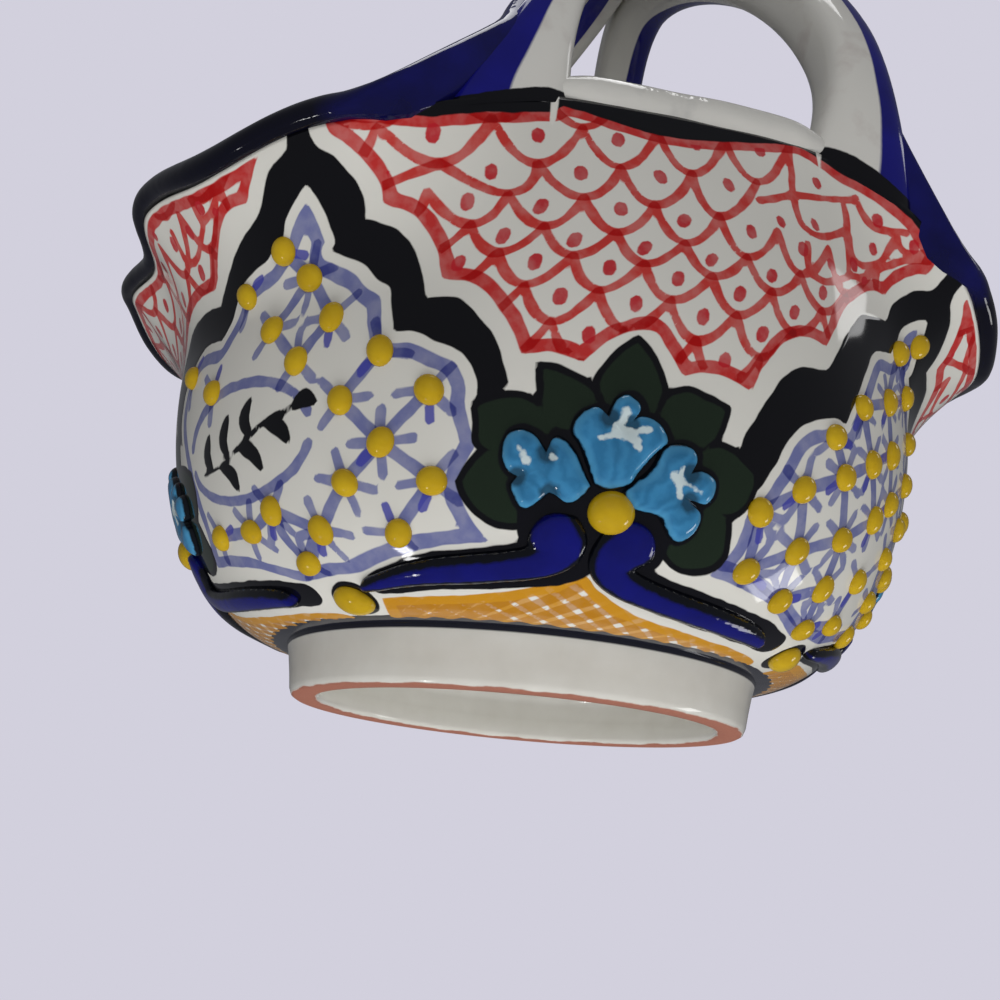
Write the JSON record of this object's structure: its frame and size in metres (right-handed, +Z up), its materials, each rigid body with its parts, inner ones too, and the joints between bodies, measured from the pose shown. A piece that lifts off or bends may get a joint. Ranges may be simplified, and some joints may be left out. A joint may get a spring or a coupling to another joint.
{
  "type": "handled bowl",
  "caption": "Footed earthenware bowl with flared side lobes and a basket handle, tin-glazed and painted with flowers, scales, scrolls and beaded lattice.",
  "frame": {"origin": "middle of the foot ring's resting face, on the table", "axes": "+Z up; the handle arches from the front window at -Y to the back window at +Y; the flared lobes are at +X and -X"},
  "size_m": [0.1936, 0.16, 0.1967],
  "materials": {
    "white_glaze": "glossy tin glaze with painted decoration",
    "foot_glaze": "glossy tin glaze, wiped off the resting face down to bare clay",
    "sill_glaze": "glossy tin glaze",
    "handle_glaze": "glossy tin glaze with a blue outer edge",
    "cobalt_rim_glaze": "glossy blue-black glaze",
    "scroll_glaze": "glossy cobalt glaze",
    "petal_glaze": "glossy light blue glaze",
    "yellow_glaze": "glossy yellow glaze"
  },
  "bodies": {
    "root": {"bowl": "white_glaze", "foot_ring": "foot_glaze", "sill_coil_front": "sill_glaze", "sill_coil_back": "sill_glaze", "rim_coil_left": "cobalt_rim_glaze", "rim_coil_right": "cobalt_rim_glaze", "handle_strand_left": "handle_glaze", "handle_strand_right": "handle_glaze", "petal_front_left": "petal_glaze", "petal_front_middle": "petal_glaze", "petal_front_right": "petal_glaze", "flower_bead_front": "yellow_glaze", "scroll_front_left": "scroll_glaze", "scroll_front_right": "scroll_glaze", "petal_right_left": "petal_glaze", "petal_right_middle": "petal_glaze", "petal_right_right": "petal_glaze", "flower_bead_right": "yellow_glaze", "scroll_right_left": "scroll_glaze", "scroll_right_right": "scroll_glaze", "petal_back_left": "petal_glaze", "petal_back_middle": "petal_glaze", "petal_back_right": "petal_glaze", "flower_bead_back": "yellow_glaze", "scroll_back_left": "scroll_glaze", "scroll_back_right": "scroll_glaze", "petal_left_left": "petal_glaze", "petal_left_middle": "petal_glaze", "petal_left_right": "petal_glaze", "flower_bead_left": "yellow_glaze", "scroll_left_left": "scroll_glaze", "scroll_left_right": "scroll_glaze", "scroll_bead_front_right": "yellow_glaze", "scroll_bead_back_right": "yellow_glaze", "scroll_bead_back_left": "yellow_glaze", "scroll_bead_front_left": "yellow_glaze"}
  },
  "joints": []
}
